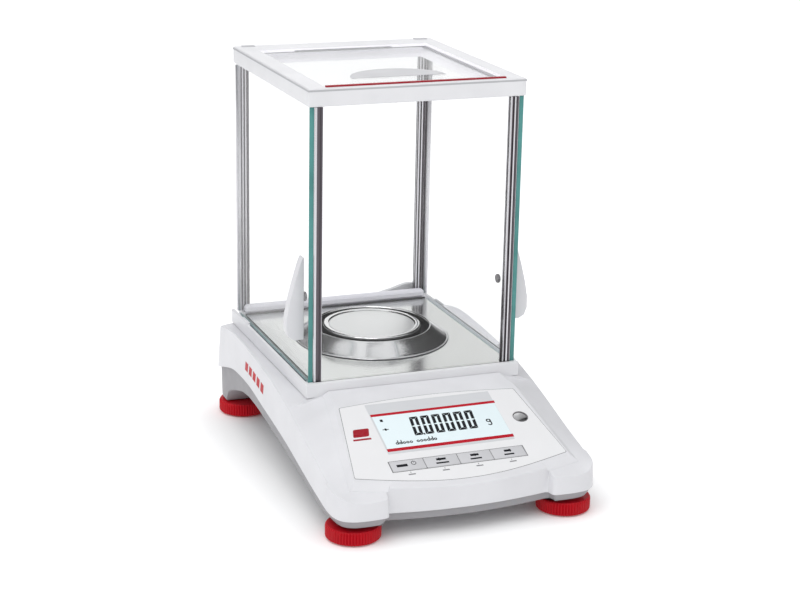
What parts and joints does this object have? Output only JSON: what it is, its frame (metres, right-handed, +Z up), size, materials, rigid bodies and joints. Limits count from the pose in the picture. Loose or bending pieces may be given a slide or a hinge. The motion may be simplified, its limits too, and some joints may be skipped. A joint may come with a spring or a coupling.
{
  "type": "analytical balance",
  "caption": "Laboratory analytical balance with a glass draft shield, sliding side and top doors, round steel pan, wind ring, sloping display panel and red levelling feet.",
  "frame": {"origin": "on the table under the middle of the balance", "axes": "+Z up, the control panel faces -Y, +X to the user's right"},
  "size_m": [0.209, 0.321, 0.309],
  "materials": {
    "white_plastic": "fine satin moulded white",
    "grey_plastic": "matt moulded grey",
    "light_grey_plastic": "matt light grey",
    "panel_overlay": "fine matt printed polyester film",
    "key_grey": "matt printed key",
    "screen": "backlit pale blue display",
    "circuit_board": "green solder mask",
    "dark_plastic": "black moulded",
    "red_plastic": "red moulded, ribbed",
    "red_trim": "red strip",
    "stainless_plate": "brushed stainless sheet",
    "polished_steel": "polished stainless",
    "aluminium": "machined and cast",
    "aluminium_profile": "bright extruded profile",
    "brass": "turned",
    "black_rubber": "matt",
    "clear_glass": "clear float glass with green edges"
  },
  "bodies": {
    "housing": {"upper_housing": "white_plastic", "lower_chassis": "grey_plastic", "shield_base": "white_plastic", "floor_plate": "stainless_plate", "rear_bar": "white_plastic", "rear_ledge": "white_plastic", "display_bezel": "white_plastic", "control_panel": "panel_overlay", "display_window": "screen", "display_module": "screen", "display_board": "circuit_board", "level_cup": "dark_plastic", "level_glass": "clear_glass", "top_frame": "white_plastic", "front_glass": "clear_glass", "rear_glass": "clear_glass", "pan_support": "aluminium", "load_cell": "aluminium", "load_cell_base": "aluminium", "main_board": "circuit_board", "calibration_motor": "dark_plastic", "power_inlet": "dark_plastic", "serial_port": "dark_plastic", "usb_port": "dark_plastic", "hook_cover_screw": "polished_steel", "post_front_left": "aluminium_profile", "post_front_right": "aluminium_profile", "post_rear_left": "aluminium_profile", "post_rear_right": "aluminium_profile"},
    "left_door": {"left_door_glass": "clear_glass", "left_door_handle": "white_plastic", "left_door_cap": "light_grey_plastic"},
    "right_door": {"right_door_glass": "clear_glass", "right_door_handle": "white_plastic", "right_door_cap": "light_grey_plastic"},
    "top_door": {"top_door_glass": "clear_glass", "top_door_trim": "red_trim", "top_door_grip": "light_grey_plastic"},
    "pan": {"weighing_pan": "polished_steel"},
    "ring": {"wind_ring": "polished_steel"},
    "calibration_cam": {"calibration_cam": "brass"},
    "calibration_weight": {"calibration_weight": "polished_steel"},
    "hook_cover": {"hook_cover": "grey_plastic"},
    "key_1": {"key_1": "key_grey"},
    "key_2": {"key_2": "key_grey"},
    "key_3": {"key_3": "key_grey"},
    "key_4": {"key_4": "key_grey"},
    "foot_pad_front_left": {"foot_pad_front_left": "black_rubber"},
    "foot_wheel_front_left": {"foot_wheel_front_left": "red_plastic", "foot_stud_front_left": "polished_steel"},
    "foot_pad_front_right": {"foot_pad_front_right": "black_rubber"},
    "foot_wheel_front_right": {"foot_wheel_front_right": "red_plastic", "foot_stud_front_right": "polished_steel"},
    "foot_pad_rear_left": {"foot_pad_rear_left": "black_rubber"},
    "foot_wheel_rear_left": {"foot_wheel_rear_left": "red_plastic", "foot_stud_rear_left": "polished_steel"},
    "foot_pad_rear_right": {"foot_pad_rear_right": "black_rubber"},
    "foot_wheel_rear_right": {"foot_wheel_rear_right": "red_plastic", "foot_stud_rear_right": "polished_steel"}
  },
  "joints": [
    {"name": "left_door_slide", "type": "slide", "parent": "housing", "child": "left_door", "axis": [0, 1, 0], "range_m": [0, 0.15]},
    {"name": "right_door_slide", "type": "slide", "parent": "housing", "child": "right_door", "axis": [0, 1, 0], "range_m": [0, 0.15]},
    {"name": "top_door_slide", "type": "slide", "parent": "housing", "child": "top_door", "axis": [0, 1, 0], "range_m": [0, 0.155]},
    {"name": "pan_lift", "type": "slide", "parent": "housing", "child": "pan", "axis": [0, 0, 1], "range_m": [0, 0.06]},
    {"name": "ring_lift", "type": "slide", "parent": "housing", "child": "ring", "axis": [0, 0, 1], "range_m": [0, 0.04]},
    {"name": "calibration_cam_turn", "type": "hinge", "parent": "housing", "child": "calibration_cam", "pos_m": [0.063, 0.076, 0.0487], "axis": [1, 0, 0], "range_deg": [0, 180]},
    {"name": "calibration_weight_lift", "type": "slide", "parent": "housing", "child": "calibration_weight", "axis": [0, 0, 1], "range_m": [0, 0.003]},
    {"name": "hook_cover_swing", "type": "hinge", "parent": "housing", "child": "hook_cover", "pos_m": [0, 0.073, 0.0353], "axis": [0, 0, 1], "range_deg": [0, 70]},
    {"name": "key_1_press", "type": "slide", "parent": "housing", "child": "key_1", "axis": [0, 0.3552, -0.9348], "range_m": [0, 0.0005], "stiffness_N_per_m": 3000},
    {"name": "key_2_press", "type": "slide", "parent": "housing", "child": "key_2", "axis": [0, 0.3552, -0.9348], "range_m": [0, 0.0005], "stiffness_N_per_m": 3000},
    {"name": "key_3_press", "type": "slide", "parent": "housing", "child": "key_3", "axis": [0, 0.3552, -0.9348], "range_m": [0, 0.0005], "stiffness_N_per_m": 3000},
    {"name": "key_4_press", "type": "slide", "parent": "housing", "child": "key_4", "axis": [0, 0.3552, -0.9348], "range_m": [0, 0.0005], "stiffness_N_per_m": 3000},
    {"name": "foot_front_left_travel", "type": "slide", "parent": "housing", "child": "foot_pad_front_left", "axis": [0, 0, -1], "range_m": [0, 0.005]},
    {"name": "foot_front_left_turn", "type": "hinge", "parent": "foot_pad_front_left", "child": "foot_wheel_front_left", "pos_m": [-0.0838, -0.1367, 0.0062], "axis": [0, 0, 1], "range_deg": [0, 1440]},
    {"name": "foot_front_right_travel", "type": "slide", "parent": "housing", "child": "foot_pad_front_right", "axis": [0, 0, -1], "range_m": [0, 0.005]},
    {"name": "foot_front_right_turn", "type": "hinge", "parent": "foot_pad_front_right", "child": "foot_wheel_front_right", "pos_m": [0.0838, -0.1367, 0.0062], "axis": [0, 0, 1], "range_deg": [0, 1440]},
    {"name": "foot_rear_left_travel", "type": "slide", "parent": "housing", "child": "foot_pad_rear_left", "axis": [0, 0, -1], "range_m": [0, 0.005]},
    {"name": "foot_rear_left_turn", "type": "hinge", "parent": "foot_pad_rear_left", "child": "foot_wheel_rear_left", "pos_m": [-0.0838, 0.1395, 0.0062], "axis": [0, 0, 1], "range_deg": [0, 1440]},
    {"name": "foot_rear_right_travel", "type": "slide", "parent": "housing", "child": "foot_pad_rear_right", "axis": [0, 0, -1], "range_m": [0, 0.005]},
    {"name": "foot_rear_right_turn", "type": "hinge", "parent": "foot_pad_rear_right", "child": "foot_wheel_rear_right", "pos_m": [0.0838, 0.1395, 0.0062], "axis": [0, 0, 1], "range_deg": [0, 1440]}
  ],
  "couplings": [
    {"joint": "calibration_cam_turn", "follows": "calibration_weight_lift", "rad_per_m": 1047.2},
    {"joint": "foot_front_left_turn", "follows": "foot_front_left_travel", "rad_per_m": 5026.5},
    {"joint": "foot_front_right_turn", "follows": "foot_front_right_travel", "rad_per_m": 5026.5},
    {"joint": "foot_rear_left_turn", "follows": "foot_rear_left_travel", "rad_per_m": 5026.5},
    {"joint": "foot_rear_right_turn", "follows": "foot_rear_right_travel", "rad_per_m": 5026.5}
  ]
}
